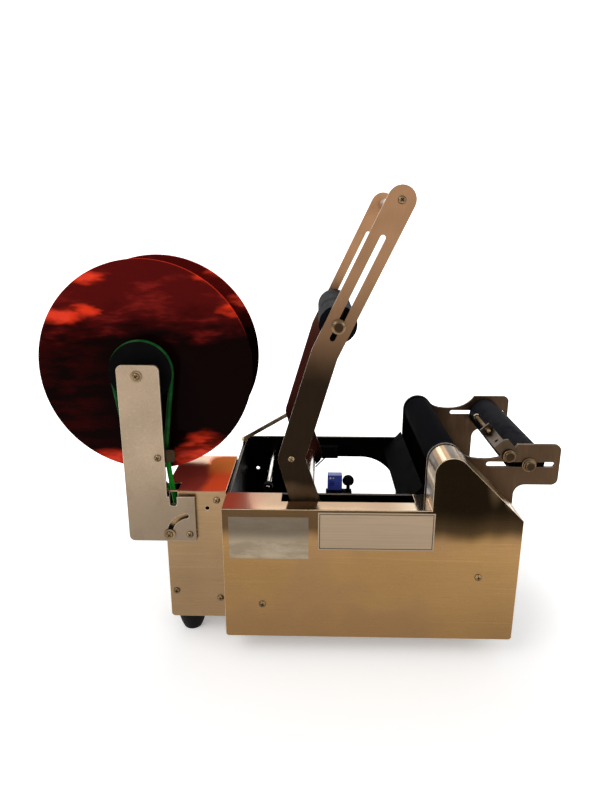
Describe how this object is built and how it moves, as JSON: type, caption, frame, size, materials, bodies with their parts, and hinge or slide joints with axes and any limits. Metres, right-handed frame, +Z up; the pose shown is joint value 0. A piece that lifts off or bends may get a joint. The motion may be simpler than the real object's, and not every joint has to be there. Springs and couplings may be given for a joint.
{
  "type": "bottle labeling machine",
  "caption": "Bench-top machine that rolls a round bottle between a driven roller and an idler, pressed by a hinged lever, and labels it from a side reel.",
  "frame": {"origin": "centre of the front left foot's underside", "axes": "+X from the reel end towards the idler roller, +Y from the drive cover towards the far side plate, +Z up"},
  "size_m": [0.6335, 0.2678, 0.5645],
  "materials": {
    "casing_steel": "brushed and polished stainless sheet with a warm reflection",
    "plate_steel": "dark brushed stainless plate",
    "bracket_steel": "satin steel",
    "bright_steel": "bright turned steel",
    "black_rubber": "matte black rubber",
    "black_plastic": "matte black plastic",
    "black_steel": "black painted steel",
    "red_acrylic": "glossy deep red translucent sheet",
    "green_belt": "smooth green round belt",
    "blue_plastic": "satin blue plastic"
  },
  "bodies": {
    "frame": {"base_plate": "plate_steel", "box_front_panel": "casing_steel", "control_box": "casing_steel", "drive_cover": "casing_steel", "far_side_plate": "plate_steel", "foot_1": "black_rubber", "foot_2": "black_rubber", "foot_3": "black_rubber", "foot_4": "black_rubber", "gear_motor": "black_steel", "guide_rod": "bright_steel", "left_end_plate": "plate_steel", "microswitch": "black_plastic", "near_side_plate": "plate_steel", "peel_plate": "black_steel", "pivot_screw": "bright_steel", "power_inlet": "black_plastic", "reel_motor": "black_steel", "rest_pad": "black_rubber", "return_spring": "bright_steel", "sensor_rail": "bright_steel", "slot_screw": "bright_steel", "stop_bolt": "bright_steel", "switch_housing": "black_plastic", "timing_belt": "black_rubber"},
    "lever": {"near_arm": "plate_steel", "far_arm": "plate_steel", "lever_shaft": "bright_steel", "handle_bar": "plate_steel", "stop_rod": "plate_steel"},
    "press_carriage": {"press_axle": "bright_steel", "press_nut": "bright_steel"},
    "press_roller": {"press_roller": "black_rubber"},
    "drive_roller": {"drive_roller_core": "bright_steel", "drive_roller_sleeve": "black_rubber"},
    "idler_carriage": {"idler_axle": "bright_steel", "idler_nut": "bright_steel"},
    "idler_roller": {"idler_roller": "black_plastic"},
    "motor_pulley": {"motor_pulley": "black_steel"},
    "traction_roller": {"traction_roller": "black_rubber"},
    "bracket": {"reel_bracket": "bracket_steel", "belt_guide": "bright_steel", "reel_axle": "bright_steel", "axle_screw": "bright_steel", "reel_belt": "green_belt"},
    "reel": {"reel_pulley": "black_plastic", "near_disc": "red_acrylic", "reel_hub": "black_plastic"},
    "far_disc": {"far_disc": "red_acrylic", "far_disc_collar": "black_plastic"},
    "reel_drive": {"reel_drive_pulley": "black_plastic"},
    "stop_arm": {"stop_bracket": "plate_steel"},
    "stop_screw": {"stop_screw": "bright_steel"},
    "sensor_carriage": {"sensor_carriage": "black_steel", "label_sensor": "blue_plastic"},
    "sensor_knob": {"sensor_knob": "black_plastic"},
    "guide_collar": {"guide_collar": "black_plastic"},
    "microswitch_lever": {"microswitch_lever": "black_plastic"},
    "switch_key": {"switch_key": "black_rubber"},
    "speed_knob": {"speed_knob": "black_plastic"}
  },
  "joints": [
    {"name": "lever_press", "type": "hinge", "parent": "frame", "child": "lever", "pos_m": [0.157, 0, 0.186], "axis": [0, 1, 0], "range_deg": [0, 52], "stiffness_Nm_per_rad": 3, "springref_deg": -28.65},
    {"name": "press_slide", "type": "slide", "parent": "lever", "child": "press_carriage", "axis": [0.4319, 0, 0.9019], "range_m": [-0.0145, 0.1055]},
    {"name": "press_spin", "type": "hinge", "parent": "press_carriage", "child": "press_roller", "pos_m": [0.18915, 0, 0.41462], "axis": [0, 1, 0], "continuous": true},
    {"name": "drive_spin", "type": "hinge", "parent": "frame", "child": "drive_roller", "pos_m": [0.321, 0, 0.25], "axis": [0, 1, 0], "continuous": true},
    {"name": "motor_spin", "type": "hinge", "parent": "frame", "child": "motor_pulley", "pos_m": [0.305, 0, 0.062], "axis": [0, 1, 0], "continuous": true},
    {"name": "traction_spin", "type": "hinge", "parent": "frame", "child": "traction_roller", "pos_m": [0.339, 0, 0.112], "axis": [0, 1, 0], "continuous": true},
    {"name": "idler_slide", "type": "slide", "parent": "frame", "child": "idler_carriage", "axis": [1, 0, 0], "range_m": [-0.012, 0.027]},
    {"name": "idler_spin", "type": "hinge", "parent": "idler_carriage", "child": "idler_roller", "pos_m": [0.422, 0, 0.2453], "axis": [0, 1, 0], "continuous": true},
    {"name": "reel_tilt", "type": "hinge", "parent": "frame", "child": "bracket", "pos_m": [0.009, 0, 0.1526], "axis": [0, -1, 0], "range_deg": [0, 80]},
    {"name": "reel_spin", "type": "hinge", "parent": "bracket", "child": "reel", "pos_m": [-0.0435, 0, 0.355], "axis": [0, 1, 0], "continuous": true},
    {"name": "far_disc_slide", "type": "slide", "parent": "reel", "child": "far_disc", "axis": [0, 1, 0], "range_m": [0, 0.03]},
    {"name": "reel_drive_spin", "type": "hinge", "parent": "frame", "child": "reel_drive", "pos_m": [0.009, 0, 0.1526], "axis": [0, 1, 0], "continuous": true},
    {"name": "stop_swivel", "type": "hinge", "parent": "frame", "child": "stop_arm", "pos_m": [0.396, 0, 0.258], "axis": [0, 1, 0], "range_deg": [-6, 6]},
    {"name": "stop_screw_slide", "type": "slide", "parent": "stop_arm", "child": "stop_screw", "axis": [0, 1, 0], "range_m": [-0.04, 0.003]},
    {"name": "sensor_slide", "type": "slide", "parent": "frame", "child": "sensor_carriage", "axis": [0, 1, 0], "range_m": [-0.038, 0.018]},
    {"name": "sensor_knob_turn", "type": "hinge", "parent": "sensor_carriage", "child": "sensor_knob", "pos_m": [0.2082, 0.034, 0.1985], "axis": [0, 0, 1], "range_deg": [-180, 180]},
    {"name": "guide_collar_slide", "type": "slide", "parent": "frame", "child": "guide_collar", "axis": [0, 1, 0], "range_m": [0, 0.13]},
    {"name": "microswitch_press", "type": "hinge", "parent": "frame", "child": "microswitch_lever", "pos_m": [0.18, 0.183, 0.171], "axis": [0, 1, 0], "range_deg": [0, 12], "stiffness_Nm_per_rad": 0.01, "springref_deg": -17.19},
    {"name": "switch_rock", "type": "hinge", "parent": "frame", "child": "switch_key", "pos_m": [-0.0225, 0.062, 0.178], "axis": [0, 1, 0], "range_deg": [-7, 7]},
    {"name": "speed_turn", "type": "hinge", "parent": "frame", "child": "speed_knob", "pos_m": [-0.022, 0.034, 0.178], "axis": [1, 0, 0], "range_deg": [0, 270]}
  ],
  "couplings": [
    {"joint": "motor_spin", "follows": "drive_spin", "ratio": 1.2},
    {"joint": "traction_spin", "follows": "drive_spin", "ratio": 1.2},
    {"joint": "reel_drive_spin", "follows": "reel_spin", "ratio": -2.4}
  ]
}
